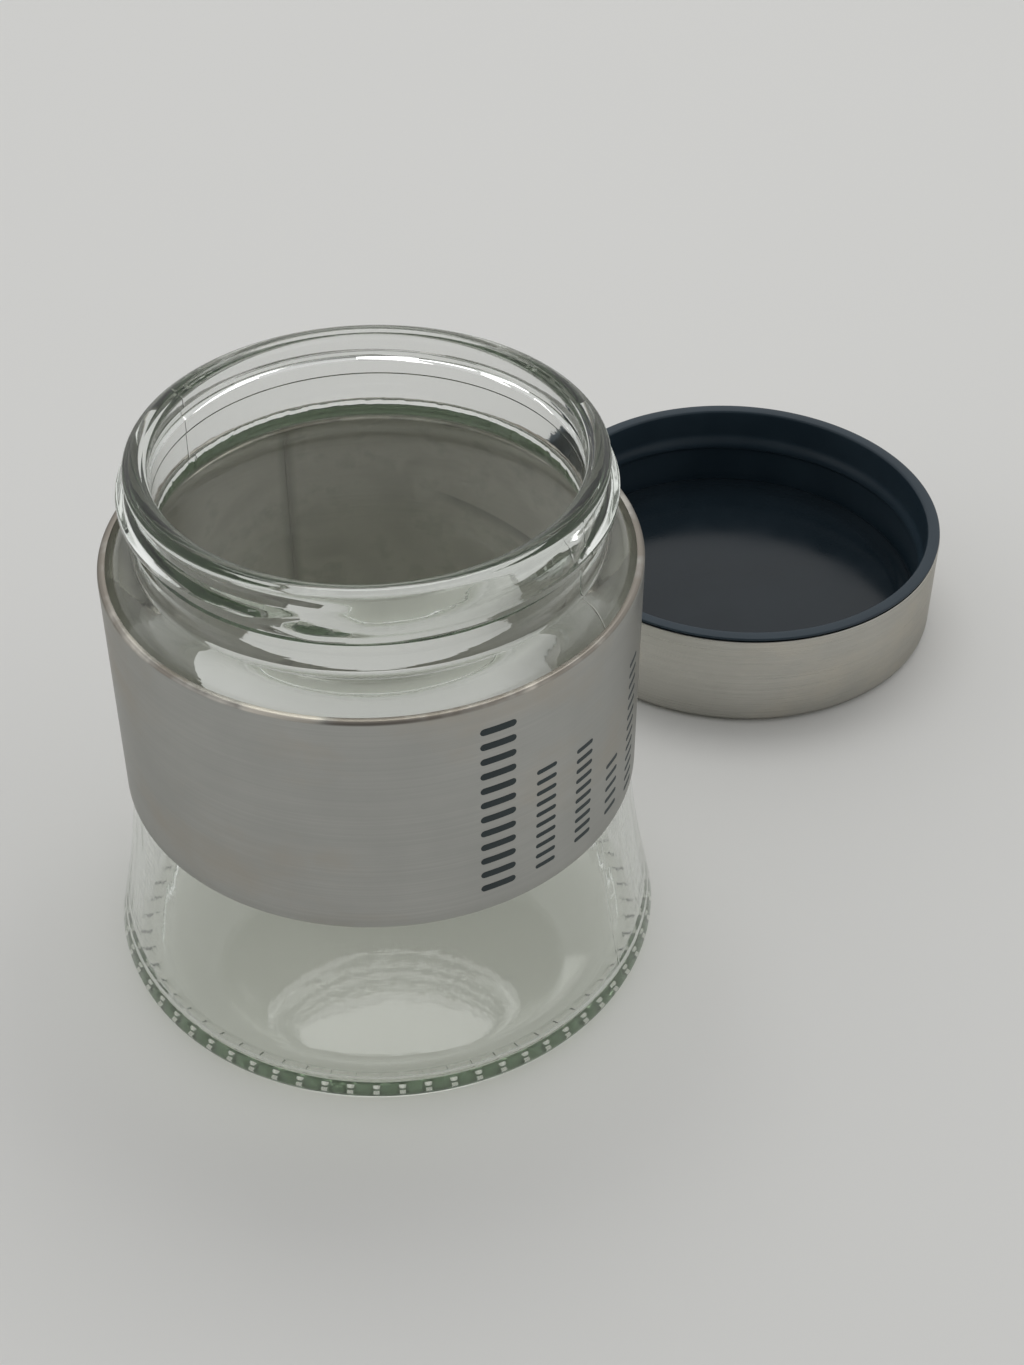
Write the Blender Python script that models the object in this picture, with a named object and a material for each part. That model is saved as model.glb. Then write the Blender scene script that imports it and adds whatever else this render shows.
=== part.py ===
"""Lidded glass storage canister, lid off and lying upside down beside the jar.

A pressed-glass jar with a threaded neck, a loose steel sleeve dropped over its body,
and a screw lid: a steel shell over a threaded plastic insert with a sealing disc.
Units are metres, +Z is up, and the origin is the middle of the whole group's footprint.
"""

import math

import bmesh
import bpy
from mathutils import Vector

MM = 0.001
SEGMENTS = 48
CLEARANCE = 0.3                 # gap kept between pieces that touch, mm
SAME_POINT = 0.002              # vertices closer than this are merged, mm
SAME_RADIUS = 0.01              # tells the threaded wall from the rest of the insert, mm

# Jar, mm
BASE_RADIUS = 55.2
BODY_RADIUS = 49.2
WALL = 3.3
HEEL_RADIUS = 3.8
BEARING_INNER = 47.2            # inner edge of the flat ring that the jar stands on
PUSH_UP = 3.6                   # how far the middle of the underside is raised
FLOOR_HEIGHT = 3.4              # inner floor at its edge
FLOOR_CROWN = 4.4               # how much higher its middle is
FLOOR_CORNER = 2.2
FLARE_TOP = 44.0
SHOULDER_START = 85.5
SHOULDER_REACH = 7.0
SHOULDER_HEIGHT = 11.4
NECK_ROOT = 97.2
NECK_STEP_LOW = 103.8           # where the wall steps in under the thread
NECK_STEP_HIGH = 104.6
NECK_LOWER_RADIUS = 43.0
NECK_UPPER_RADIUS = 42.6
INNER_SHOULDER_DROP = 14.0      # height over which the mouth widens to the inner wall
INNER_SHOULDER_RISE = 1.4       # how far it starts above the neck's root
MOUTH_RADIUS = 38.9
RIM_RADIUS = 43.24
RIM_HEIGHT = 114.2
RIM_ROUND = 1.6
RIM_BEAD_LOW = 111.2            # underside of the small bead round the rim

# Thread on the neck and its partner in the lid, mm and degrees
LEAD = 1.6
THREAD_CREST = 45.2
THREAD_HALF_WIDTH = 1.7
THREAD_FRONT_HEIGHT = 106.4     # height of the ridge where it passes the front, at -90 degrees
THREAD_START = -114.0
THREAD_END = 262.0
THREAD_FADE = 16.0
LID_THREAD_CREST = 43.8
LID_THREAD_HALF_WIDTH = 1.3
LID_THREAD_LOW = 13.6
LID_THREAD_SWEEP = 400.0        # degrees

# Sleeve, mm
SLEEVE_RADIUS = 50.0
SLEEVE_THICKNESS = 0.5
SLEEVE_TOP = 92.8
SLEEVE_BEND = 0.9
SLEEVE_LIP_RADIUS = 48.5

# Lid, mm, measured up from its steel top plate because it lies upside down
LID_RADIUS = 48.6
LID_THICKNESS = 0.5
LID_CORNER = 2.2
LID_SHELL_HEIGHT = 23.9
LID_HEIGHT = 24.9
INSERT_PLATE_LOW = 1.5
INSERT_PLATE_HIGH = 3.3
INSERT_WALL_INNER = 45.6
INSERT_CORNER = 2.8
INSERT_RIM_INSET = 0.1          # how far the plastic rim stays inside the steel's outline
INSERT_EDGE = 0.6               # chamfer at the insert's mouth
LINER_RADIUS = 44.4
LINER_THICKNESS = 1.4
LINER_EDGE = 0.3
ADHESIVE_INNER = 24.0
ADHESIVE_OUTER = 36.0

# Distance between rows of vertices along a turned wall, mm
FLARE_ROWS = 6.7
NECK_ROWS = 0.95
INSIDE_ROWS = 7.7
INSERT_ROWS = 0.8

# Where the lid lies, seen from the jar, mm
LID_OFFSET = Vector((80.3, 105.4))


def jar_axis():
    """The jar's place, so that the box around jar and lid is centred on the origin."""
    return Vector(
        (
            (BASE_RADIUS - LID_RADIUS - LID_OFFSET.x) / 2,
            (BASE_RADIUS - LID_RADIUS - LID_OFFSET.y) / 2,
        )
    )


def lid_axis():
    return jar_axis() + LID_OFFSET


def arc(centre, radii, start, end, steps):
    """Points on an elliptical arc in the (radius, height) plane, both ends included."""
    points = []
    for step in range(steps + 1):
        angle = math.radians(start + (end - start) * step / steps)
        radius = centre[0] + radii[0] * math.cos(angle)
        height = centre[1] + radii[1] * math.sin(angle)
        points.append((radius, height))
    return points


def span(low, high, spacing):
    """Evenly spaced values from low to high, both included."""
    count = max(1, round(abs(high - low) / spacing))
    return [low + (high - low) * step / count for step in range(count + 1)]


def flare_radius(height):
    """The jar widens from its straight body down to its heel."""
    share = (FLARE_TOP - height) / (FLARE_TOP - HEEL_RADIUS)
    return BODY_RADIUS + (BASE_RADIUS - BODY_RADIUS) * max(0.0, share) ** 1.5


def ridge(offset, half_width):
    """The rounded cross-section of a thread ridge, 1 on its crest and 0 at its foot."""
    if abs(offset) >= half_width:
        return 0.0
    return math.cos(0.5 * math.pi * offset / half_width) ** 2


def helix_ridge(angle, height, front_height, start, end, half_width):
    """Height of a right-hand thread at a point, as a share of its full depth."""
    most = 0.0
    for turn in range(-2, 3):
        travelled = angle + 360.0 * turn
        if not start <= travelled <= end:
            continue
        centre = front_height + LEAD * (travelled + 90.0) / 360.0
        fade = min(1.0, (travelled - start) / THREAD_FADE, (end - travelled) / THREAD_FADE)
        most = max(most, ridge(height - centre, half_width) * math.sin(0.5 * math.pi * fade))
    return most


def new_material(name, colour, roughness, metallic=0.0, transmission=0.0):
    material = bpy.data.materials.new(name)
    material.use_nodes = True
    shader = material.node_tree.nodes["Principled BSDF"]
    shader.inputs["Base Color"].default_value = (*colour, 1.0)
    shader.inputs["Roughness"].default_value = roughness
    shader.inputs["Metallic"].default_value = metallic
    shader.inputs["Transmission Weight"].default_value = transmission
    return material


def turned(name, section, place, material, closed=False, thread=None):
    """Spins a (radius, height) section round the vertical axis through place.

    A closed section makes a ring. An open one starts and ends on the axis.
    thread, where given, moves a vertex out or in from its angle, radius and height.
    """
    work = bmesh.new()
    verts = [work.verts.new((radius * MM, 0.0, height * MM)) for radius, height in section]
    edges = [work.edges.new(pair) for pair in zip(verts, verts[1:])]
    if closed:
        edges.append(work.edges.new((verts[-1], verts[0])))
    bmesh.ops.spin(
        work,
        geom=verts + edges,
        axis=(0.0, 0.0, 1.0),
        cent=(0.0, 0.0, 0.0),
        steps=SEGMENTS,
        angle=2.0 * math.pi,
        use_merge=True,
    )
    bmesh.ops.remove_doubles(work, verts=work.verts, dist=SAME_POINT * MM)
    if thread:
        for vert in work.verts:
            angle = math.degrees(math.atan2(vert.co.y, vert.co.x))
            radius = vert.co.xy.length / MM
            wanted = thread(angle, radius, vert.co.z / MM)
            if radius > 0.0:
                vert.co.xy *= wanted / radius
    bmesh.ops.recalc_face_normals(work, faces=work.faces)
    mesh = bpy.data.meshes.new(name)
    work.to_mesh(mesh)
    work.free()
    mesh.materials.append(material)
    mesh.shade_smooth()
    mesh.set_sharp_from_angle(angle=math.radians(40.0))
    piece = bpy.data.objects.new(name, mesh)
    piece.location = (place.x * MM, place.y * MM, 0.0)
    bpy.context.scene.collection.objects.link(piece)
    return piece


def jar_underside():
    """From the middle of the raised underside out to the flat ring it stands on."""
    rise = arc((0.0, 0.0), (BEARING_INNER, PUSH_UP), 90.0, 0.0, 5)
    heel_centre = (BASE_RADIUS - HEEL_RADIUS, HEEL_RADIUS)
    return rise + arc(heel_centre, (HEEL_RADIUS, HEEL_RADIUS), -90.0, 0.0, 4)


def jar_outside():
    """The flare, the straight body under the sleeve and the rounded shoulder."""
    flare = [(flare_radius(height), height) for height in span(HEEL_RADIUS, FLARE_TOP, FLARE_ROWS)]
    centre = (BODY_RADIUS - SHOULDER_REACH, SHOULDER_START)
    shoulder = arc(centre, (SHOULDER_REACH, SHOULDER_HEIGHT), 0.0, 82.0, 6)
    return flare[1:] + shoulder


def jar_neck():
    """The threaded neck and the rounded rim, down to the top of the inner wall."""
    lower_heights = span(NECK_ROOT + 2.0 * CLEARANCE, NECK_STEP_LOW, NECK_ROWS)
    upper_heights = span(NECK_STEP_HIGH, RIM_BEAD_LOW, NECK_ROWS)
    lower = [(NECK_LOWER_RADIUS, height) for height in lower_heights]
    upper = [(NECK_UPPER_RADIUS, height) for height in upper_heights]
    crown = RIM_HEIGHT - RIM_ROUND
    outer = arc((RIM_RADIUS - RIM_ROUND, crown), (RIM_ROUND, RIM_ROUND), 0.0, 90.0, 3)
    inner = arc((MOUTH_RADIUS + RIM_ROUND, crown), (RIM_ROUND, RIM_ROUND), 90.0, 180.0, 3)
    return lower + upper + outer + inner


def jar_inside():
    """The inner neck, the inner shoulder, the inner wall and the floor."""
    body_inner = BODY_RADIUS - WALL
    reach = body_inner - MOUTH_RADIUS
    top = NECK_ROOT + INNER_SHOULDER_RISE
    shoulder = []
    for angle in range(0, 91, 15):
        share = math.sin(math.radians(angle)) ** 2
        shoulder.append((MOUTH_RADIUS + reach * share, top - INNER_SHOULDER_DROP * angle / 90.0))
    corner_height = FLOOR_HEIGHT + FLOOR_CORNER
    flare = [
        (flare_radius(height) - WALL, height)
        for height in reversed(span(corner_height, FLARE_TOP, INSIDE_ROWS))
    ]
    corner_centre = (flare[-1][0] - FLOOR_CORNER, corner_height)
    corner = arc(corner_centre, (FLOOR_CORNER, FLOOR_CORNER), 0.0, -90.0, 3)
    floor = arc((0.0, FLOOR_HEIGHT), (corner_centre[0], FLOOR_CROWN), 0.0, 90.0, 4)
    return shoulder + flare + corner[1:] + floor[1:]


def jar_thread(angle, radius, height):
    """Raises the thread on the outside of the neck."""
    on_neck = NECK_ROOT < height < RIM_HEIGHT - RIM_ROUND and radius > MOUTH_RADIUS + RIM_ROUND
    if not on_neck:
        return radius
    share = helix_ridge(
        angle, height, THREAD_FRONT_HEIGHT, THREAD_START, THREAD_END, THREAD_HALF_WIDTH
    )
    return radius + (THREAD_CREST - radius) * share


def make_jar():
    glass = new_material("clear_glass", (0.86, 0.91, 0.88), 0.03, transmission=1.0)
    section = jar_underside() + jar_outside() + jar_neck() + jar_inside()
    turned("glass_jar", section, jar_axis(), glass, thread=jar_thread)


def make_sleeve():
    """A thin steel tube whose top edge turns in over the jar's shoulder."""
    steel = new_material("brushed_steel", (0.55, 0.54, 0.52), 0.32, metallic=1.0)
    inner = SLEEVE_RADIUS - SLEEVE_THICKNESS
    bend_centre = (SLEEVE_RADIUS - SLEEVE_BEND, SLEEVE_TOP - SLEEVE_BEND)
    inner_bend = SLEEVE_BEND - SLEEVE_THICKNESS
    outside = [(SLEEVE_RADIUS, FLARE_TOP)]
    outside += arc(bend_centre, (SLEEVE_BEND, SLEEVE_BEND), 0.0, 90.0, 3)
    lip = [(SLEEVE_LIP_RADIUS, SLEEVE_TOP), (SLEEVE_LIP_RADIUS, SLEEVE_TOP - SLEEVE_THICKNESS)]
    inside = arc(bend_centre, (inner_bend, inner_bend), 90.0, 0.0, 2) + [(inner, FLARE_TOP)]
    turned("steel_sleeve", outside + lip + inside, jar_axis(), steel, closed=True)


def make_lid_shell():
    steel = new_material("lid_steel", (0.55, 0.53, 0.50), 0.34, metallic=1.0)
    inner = LID_RADIUS - LID_THICKNESS
    centre = (LID_RADIUS - LID_CORNER, LID_CORNER)
    inner_corner = LID_CORNER - LID_THICKNESS
    outside = [(0.0, 0.0)] + arc(centre, (LID_CORNER, LID_CORNER), -90.0, 0.0, 4)
    edge = [(LID_RADIUS, LID_SHELL_HEIGHT), (inner, LID_SHELL_HEIGHT)]
    inside = arc(centre, (inner_corner, inner_corner), 0.0, -90.0, 3) + [(0.0, LID_THICKNESS)]
    turned("lid_shell", outside + edge + inside, lid_axis(), steel)


def lid_thread(angle, radius, height):
    """Raises the thread on the inner wall of the lid's insert."""
    if abs(radius - INSERT_WALL_INNER) > SAME_RADIUS:
        return radius
    share = helix_ridge(
        angle, height, LID_THREAD_LOW, -90.0, LID_THREAD_SWEEP - 90.0, LID_THREAD_HALF_WIDTH
    )
    return radius + (LID_THREAD_CREST - radius) * share


def make_lid_insert():
    """The plastic screw insert. Its rounded rim covers the edge of the steel shell."""
    plastic = new_material("black_plastic", (0.012, 0.016, 0.024), 0.42)
    outer = LID_RADIUS - LID_THICKNESS - CLEARANCE
    flange_low = LID_SHELL_HEIGHT + CLEARANCE
    flange_round = (LID_HEIGHT - flange_low) / 2
    corner_centre = (outer - INSERT_CORNER, INSERT_PLATE_LOW + INSERT_CORNER)
    section = [(0.0, INSERT_PLATE_LOW)]
    section += arc(corner_centre, (INSERT_CORNER, INSERT_CORNER), -90.0, 0.0, 3)
    section.append((outer, flange_low))
    flange_centre = (LID_RADIUS - INSERT_RIM_INSET - flange_round, flange_low + flange_round)
    section += arc(flange_centre, (flange_round, flange_round), -90.0, 90.0, 4)
    section.append((INSERT_WALL_INNER + INSERT_EDGE, LID_HEIGHT))
    section.append((INSERT_WALL_INNER, LID_HEIGHT - INSERT_EDGE))
    thread_high = LID_THREAD_LOW + LEAD * LID_THREAD_SWEEP / 360.0
    highest_row = thread_high + LID_THREAD_HALF_WIDTH
    lowest_row = LID_THREAD_LOW - LID_THREAD_HALF_WIDTH
    rows = span(highest_row, lowest_row, INSERT_ROWS)
    section += [(INSERT_WALL_INNER, height) for height in rows]
    section.append((INSERT_WALL_INNER, INSERT_PLATE_HIGH))
    section.append((0.0, INSERT_PLATE_HIGH))
    turned("lid_insert", section, lid_axis(), plastic, thread=lid_thread)


def make_lid_liner():
    rubber = new_material("dark_rubber", (0.022, 0.026, 0.032), 0.6)
    low = INSERT_PLATE_HIGH + CLEARANCE
    high = low + LINER_THICKNESS
    section = [(0.0, low), (LINER_RADIUS, low), (LINER_RADIUS, high - LINER_EDGE)]
    section += [(LINER_RADIUS - LINER_EDGE, high), (0.0, high)]
    turned("lid_liner", section, lid_axis(), rubber)


def make_lid_adhesive():
    """The ring of adhesive that holds the plastic insert in the steel shell."""
    adhesive = new_material("cured_adhesive", (0.62, 0.60, 0.55), 0.7)
    low = LID_THICKNESS + CLEARANCE
    high = INSERT_PLATE_LOW - CLEARANCE
    section = [(ADHESIVE_OUTER, low), (ADHESIVE_OUTER, high)]
    section += [(ADHESIVE_INNER, high), (ADHESIVE_INNER, low)]
    turned("lid_adhesive_ring", section, lid_axis(), adhesive, closed=True)


def clear_scene():
    for old in list(bpy.data.objects):
        bpy.data.objects.remove(old)


clear_scene()
make_jar()
make_sleeve()
make_lid_shell()
make_lid_insert()
make_lid_liner()
make_lid_adhesive()
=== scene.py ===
"""The looks of the lidded glass canister: fine glass, brushed steel and moulded plastic."""

import math

import bpy
import numpy as np
from mathutils import Matrix, Vector


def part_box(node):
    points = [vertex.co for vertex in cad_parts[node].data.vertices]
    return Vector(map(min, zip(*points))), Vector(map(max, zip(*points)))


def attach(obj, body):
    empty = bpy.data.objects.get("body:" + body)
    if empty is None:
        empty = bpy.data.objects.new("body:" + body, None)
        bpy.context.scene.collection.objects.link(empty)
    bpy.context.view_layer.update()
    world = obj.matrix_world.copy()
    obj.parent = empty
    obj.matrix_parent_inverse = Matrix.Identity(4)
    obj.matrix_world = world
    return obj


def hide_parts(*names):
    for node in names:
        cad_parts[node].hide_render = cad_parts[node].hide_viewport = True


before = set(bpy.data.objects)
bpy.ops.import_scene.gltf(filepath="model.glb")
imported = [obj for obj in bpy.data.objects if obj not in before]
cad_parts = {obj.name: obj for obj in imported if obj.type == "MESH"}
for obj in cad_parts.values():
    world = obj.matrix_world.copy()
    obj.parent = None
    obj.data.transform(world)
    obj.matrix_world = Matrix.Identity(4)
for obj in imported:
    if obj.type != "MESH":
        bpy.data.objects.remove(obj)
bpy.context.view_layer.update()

MM = 0.001


class Piece:
    """A CAD node's axis, radius and height range, in millimetres."""

    def __init__(self, node):
        low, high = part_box(node)
        self.axis = Vector(((low.x + high.x) / 2, (low.y + high.y) / 2, 0.0))
        self.radius = (high.x - low.x) / 2 / MM
        self.low = low.z / MM
        self.high = high.z / MM


JAR = Piece("glass_jar")
SLEEVE = Piece("steel_sleeve")
SHELL = Piece("lid_shell")
INSERT = Piece("lid_insert")
LINER = Piece("lid_liner")

# Jar, mm
BODY_RADIUS = SLEEVE.radius - 0.85
WALL = 3.3
HEEL_RADIUS = 3.8
UNDERSIDE_RADIUS = 46.6         # of the raised underside
BEARING_RADII = (47.2, 47.5, 47.9, 48.5, 49.5, 50.5, 51.1)
PUSH_UP = 3.6
FLOOR_HEIGHT = 3.4
FLOOR_CROWN = 4.4
FLOOR_CORNER = 2.2
SHOULDER_START = 85.5
SHOULDER_REACH = 7.0
SHOULDER_HEIGHT = 11.4
NECK_ROOT = 97.2
NECK_LOWER_RADIUS = 43.0
NECK_UPPER_RADIUS = 42.6
MOUTH_RADIUS = 38.9
RIM_RADIUS = 43.24
RIM_ROUND = 1.2
RIM_CROWN = 0.35                # how much the rim is domed between its rounded edges
RIM_BEAD_LOW = 111.2
SEAM_ANGLES = (151.0, -29.0)    # where the two halves of the mould met, degrees
PARTING_LINE = 0.09             # how far their line stands out on the neck
PARTING_WIDTH = 0.35            # degrees to each side
PARTING_SHARE = 0.25            # of that height, lower down on the body
GRIP_MARKS = 64                 # raised marks round the bearing ring
GRIP_DEPTH = 0.4
GRIP_RADIUS = 49.5
GRIP_LENGTH = 3.9
GRIP_WIDTH = 2.0
GRIP_SLOPES = (0.0, 0.28, 0.42, 0.56)   # where a mark's points lie from its middle, in widths
CRINKLE_HEIGHTS = (95.6, 99.4)  # of the rough ring inside the neck
CRINKLE_DEPTH = 0.12
CRINKLE_ANGLES = (8.0, 215.0)   # it is rough at the back and smooth in front
CRINKLE_FADE = 25.0
INNER_WAVE = 0.12               # how uneven the pressed inner wall is

# Thread, mm and degrees. It rises to the right. -90 degrees faces the front.
LEAD = 1.6
THREAD_CRESTS = (45.2, 44.5)    # in front and at the back, where it is flatter
THREAD_LOWER_WIDTHS = (2.4, 0.75)
THREAD_UPPER_WIDTH = 1.6
THREAD_FLAT = 0.3               # share of the thread's width that is level on top
THREAD_FRONT_HEIGHT = 106.7
THREAD_START = -114.0
THREAD_END = 262.0
THREAD_FADE = 16.0
RUN_OUT_ANGLES = (-96.0, -30.0)  # here the thread runs up into the rim with no groove between
RUN_OUT_FADE = 22.0
RUN_OUT_BULGE = 0.35            # how convex the filled groove is, mm
LID_THREAD_CREST = 44.6
LID_THREAD_LOWER_WIDTH = 1.0
LID_THREAD_UPPER_WIDTH = 3.6
LID_THREAD_FLAT = 0.1
LID_THREAD_LOW = 13.6
LID_THREAD_SWEEP = 400.0

# Sleeve, mm and degrees
STEEL_THICKNESS = 0.5
SLEEVE_BEND = 0.9
SLEEVE_LIP_RADIUS = 48.5
WELD_ANGLE = 115.0
WELD_DEPTH = 0.12
CREASE_ENDS = ((49.2, 66.0), (79.8, 72.2))  # of a crease on the inner face, painted as a dark shade band: angle and height
CREASE_WIDTH = 2.6
PAINTED_EDGE_DEPTH = 0.7              # the turned-in edge's height, on which reflections are painted as dull and bright patches
SMALL_ROUND = 0.12              # on the cut edges

# Printed marks: angle in degrees, lowest and highest point in mm, bars, bar length and thickness in mm
MARK_ROWS = (
    (-61.9, 48.7, 87.6, 12, 7.0, 1.5),
    (-50.2, 48.8, 73.0, 10, 4.6, 1.0),
    (-39.0, 49.0, 72.0, 10, 4.6, 1.0),
    (-27.7, 48.5, 61.0, 5, 4.6, 1.0),
    (-16.7, 46.5, 78.0, 13, 4.6, 1.0),
)
MARK_COLUMNS = 20               # steps along each bar
INK_THICKNESS = 0.02
INK_SUNK = 0.1                  # how deep the back of each bar lies in the steel

# Lid, mm
LID_CORNER = 2.2
INSERT_PLATE_HIGH = 3.3
INSERT_WALL_INNER = 45.6
INSERT_CORNER = 2.8
SEAL_RING_RADIUS = 41.1         # of the dent that the jar's rim has pressed into the sealing disc
SEAL_RING_WIDTH = 1.3
SEAL_RING_DEPTH = 0.18

# Colours. A steel has a bright, a dark and a warm shade, and every other material has two shades.
SLEEVE_STEEL = ((0.51, 0.51, 0.485), (0.35, 0.355, 0.34), (0.44, 0.405, 0.35))
LID_STEEL = ((0.60, 0.585, 0.54), (0.40, 0.395, 0.36), (0.62, 0.575, 0.49))
INNER_STEEL = ((0.33, 0.32, 0.285), (0.53, 0.51, 0.46))
WELD_COLOUR = (0.29, 0.275, 0.24)
# painted shade for the crease on the sleeve's inner face
CREASE_PAINTED_SHADE = (0.27, 0.26, 0.23)
EDGE_PAINTED_DARK = (0.24, 0.215, 0.185)   # painted reflections on the turned-in edge: dull patches for dark reflections, bright ones as painted highlights
EDGE_PAINTED_HIGHLIGHT = (0.64, 0.595, 0.52)
INK = ((0.020, 0.031, 0.034), (0.028, 0.042, 0.045))
INSERT_PLASTIC = ((0.018, 0.033, 0.047), (0.024, 0.042, 0.058))
SEAL_RUBBER = ((0.010, 0.017, 0.023), (0.013, 0.021, 0.028))
ADHESIVE = ((0.55, 0.53, 0.48), (0.66, 0.64, 0.58))
TABLE = ((0.73, 0.73, 0.715), (0.76, 0.76, 0.745))
STEEL_SHEEN = (0.7, 0.7, 0.69)
GLASS_TINT = (0.58, 0.65, 0.56)     # the loss per metre is GLASS_DENSITY times what these lack of 1
GLASS_DENSITY = 38.0
GLASS_PASS = (0.94, 0.94, 0.92)     # what each face lets through to other surfaces
GLASS_IOR = 1.52

# Roughness and grain
SLEEVE_ROUGHNESS = 0.33
LID_ROUGHNESS = 0.30
INNER_ROUGHNESS = (0.42, 0.54)
STEEL_ANISOTROPY = 0.5
INNER_ANISOTROPY = 0.4
INK_ROUGHNESS = 0.5
INSERT_ROUGHNESS = 0.40
SEAL_ROUGHNESS = 0.14
ADHESIVE_ROUGHNESS = 0.6
TABLE_ROUGHNESS = 0.7
EVEN = (1.0, 1.0, 1.0)              # noise scales along X, Y and Z, per metre
FINE_BRUSHING = (30.0, 30.0, 5200.0)
BROAD_BRUSHING = (9.0, 9.0, 1300.0)
INNER_BRUSHING = (20.0, 20.0, 2500.0)
MOULD_MARKS = (30.0, 30.0, 1400.0)

# Camera, mm from the jar's foot, degrees and radians
CAMERA_PLACE = (25.74, -310.55, 321.27)
CAMERA_PITCH = 40.1
CAMERA_ROLL = 0.005
CAMERA_LENS = 55.36
CAMERA_SENSOR = 36.0

# Studio. The room's brightness is given at the horizon, at ROOM_MIDDLE of the way up, and overhead.
ROOM_HORIZON = (0.50, 0.50, 0.495)
ROOM_BRIGHT = (1.05, 1.05, 1.045)
ROOM_OVERHEAD = (0.50, 0.50, 0.50)
ROOM_MIDDLE = 0.35
ROOM_STRENGTH = 0.94
DARK_SIDE = (0.0, -0.87, 0.49)      # towards whoever stands in front
DARK_SIDE_COLOUR = (0.10, 0.10, 0.10)
DARK_SIDE_EDGES = (0.66, 0.95)      # cosines of the angles from that direction: edge and full
DARK_SIDE_SHARE = 0.82
LAMP_PLACE = (0.05, 0.5, 1.3)
LAMP_SIZE = (1.1, 0.6)
LAMP_POWER = 4.0
LAMP_COLOUR = (1.0, 0.995, 0.985)
FLOOR_REACH = 4.0
GLASS_BOUNCES = 48                  # light is trapped for long in the glass heel
GLOSSY_BOUNCES = 24


# ---------------------------------------------------------------- outlines

def arc(centre, radii, start, end, steps):
    """Points on an elliptical arc in the (radius, height) plane, both ends included."""
    angles = np.radians(np.linspace(start, end, steps + 1))
    return [(centre[0] + radii[0] * math.cos(a), centre[1] + radii[1] * math.sin(a)) for a in angles]


def rise(radius, low, high, spacing):
    """A straight vertical run, both ends included."""
    count = max(1, round(abs(high - low) / spacing))
    return [(radius, low + (high - low) * step / count) for step in range(count + 1)]


def smooth(share):
    share = np.clip(share, 0.0, 1.0)
    return share * share * (3.0 - 2.0 * share)


def flare_radius(height):
    """The jar widens from its straight body down to its heel."""
    share = np.clip((SLEEVE.low - height) / (SLEEVE.low - HEEL_RADIUS), 0.0, 1.0)
    return BODY_RADIUS + (JAR.radius - BODY_RADIUS) * share ** 1.5


def helix_ridge(angle, height, front_height, start, end, widths, flat):
    """Height of a right-hand thread at each point, as a share of its full depth.

    widths are its reach below and above its middle line, and flat is the share of them that is level.
    """
    most = np.zeros_like(height)
    for turn in range(-2, 3):
        travelled = angle + 360.0 * turn
        offset = height - front_height - LEAD * (travelled + 90.0) / 360.0
        away = np.where(offset < 0.0, -offset / widths[0], offset / widths[1])
        fade = smooth(np.minimum(travelled - start, end - travelled) / THREAD_FADE)
        most = np.maximum(most, smooth((1.0 - away) / (1.0 - flat)) * fade)
    return most


def angular_bump(angle, centre, half_width):
    """1 at an angle and 0 beyond half_width degrees from it."""
    away = np.abs((angle - centre + 180.0) % 360.0 - 180.0)
    return smooth(1.0 - away / half_width)


def ripple(angle, height, seed, waves, longest):
    """Seeded slow waves over a turned surface, from -1 to 1."""
    random = np.random.default_rng(seed)
    total = np.zeros_like(height)
    for _ in range(waves):
        turns = random.integers(1, 9)
        climb = random.uniform(-1.0, 1.0) * 2.0 * math.pi / longest
        phase = random.uniform(0.0, 2.0 * math.pi)
        total += np.sin(np.radians(angle) * turns + height * climb + phase)
    return total / waves


# ---------------------------------------------------------------- meshes

def ring_angles(count, centres=(), half_width=1.0, extra=8):
    """Angles round a turned piece, with more of them near each centre."""
    angles = list(np.arange(count) * 360.0 / count - 180.0)
    for centre in centres:
        angles += list(np.linspace(centre - half_width, centre + half_width, extra))
    wrapped = (np.array(angles) + 180.0) % 360.0 - 180.0
    return np.unique(np.round(wrapped, 4))


def turned(name, section, piece, angles, closed=False, shape=None, inner_rows=()):
    """Turns a (radius, height) section round a CAD node's axis into one closed mesh.

    A closed section makes a ring, and an open one starts and ends on the axis. shape, where given,
    moves the points: it takes and returns arrays of radius and height for every row and angle.
    """
    radius = np.repeat(np.array([point[0] for point in section])[:, None], len(angles), 1)
    height = np.repeat(np.array([point[1] for point in section])[:, None], len(angles), 1)
    turn = np.repeat(angles[None, :], len(section), 0)
    if shape:
        radius, height = shape(turn, radius, height)
    x = radius * np.cos(np.radians(turn)) * MM
    y = radius * np.sin(np.radians(turn)) * MM
    rows = len(section)
    around = len(angles)
    first = 0 if closed else 1
    last = rows if closed else rows - 1
    points = []
    if not closed:
        points = [(0.0, 0.0, section[0][1] * MM), (0.0, 0.0, section[-1][1] * MM)]
    offset = len(points)
    grid = np.stack([x, y, height * MM], axis=-1)[first:last]
    points += grid.reshape(-1, 3).tolist()
    ring_count = last - first
    faces = []
    inner = []
    for row in range(ring_count if closed else ring_count - 1):
        here = offset + row * around
        there = offset + ((row + 1) % ring_count) * around
        for step in range(around):
            after = (step + 1) % around
            faces.append((here + step, here + after, there + after, there + step))
            inner.append(row + first in inner_rows)
    if not closed:
        top = offset + (ring_count - 1) * around
        for step in range(around):
            after = (step + 1) % around
            faces.append((0, offset + after, offset + step))
            faces.append((1, top + step, top + after))
            inner += [False, False]
    mesh = bpy.data.meshes.new(name)
    mesh.from_pydata(points, [], faces)
    mesh.polygons.foreach_set("material_index", [int(flag) for flag in inner])
    mesh.shade_smooth()
    mesh.set_sharp_from_angle(angle=math.radians(38.0))
    obj = bpy.data.objects.new(name, mesh)
    obj.location = piece.axis
    bpy.context.scene.collection.objects.link(obj)
    return obj


def dress(obj, body, node, slot_name, *materials):
    """Gives a piece its materials and its body, and hides the node it stands for. slot_name is not used."""
    for material in materials:
        obj.data.materials.append(material)
    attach(obj, body)
    if node:
        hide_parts(node)
    return obj


# ---------------------------------------------------------------- materials

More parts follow.
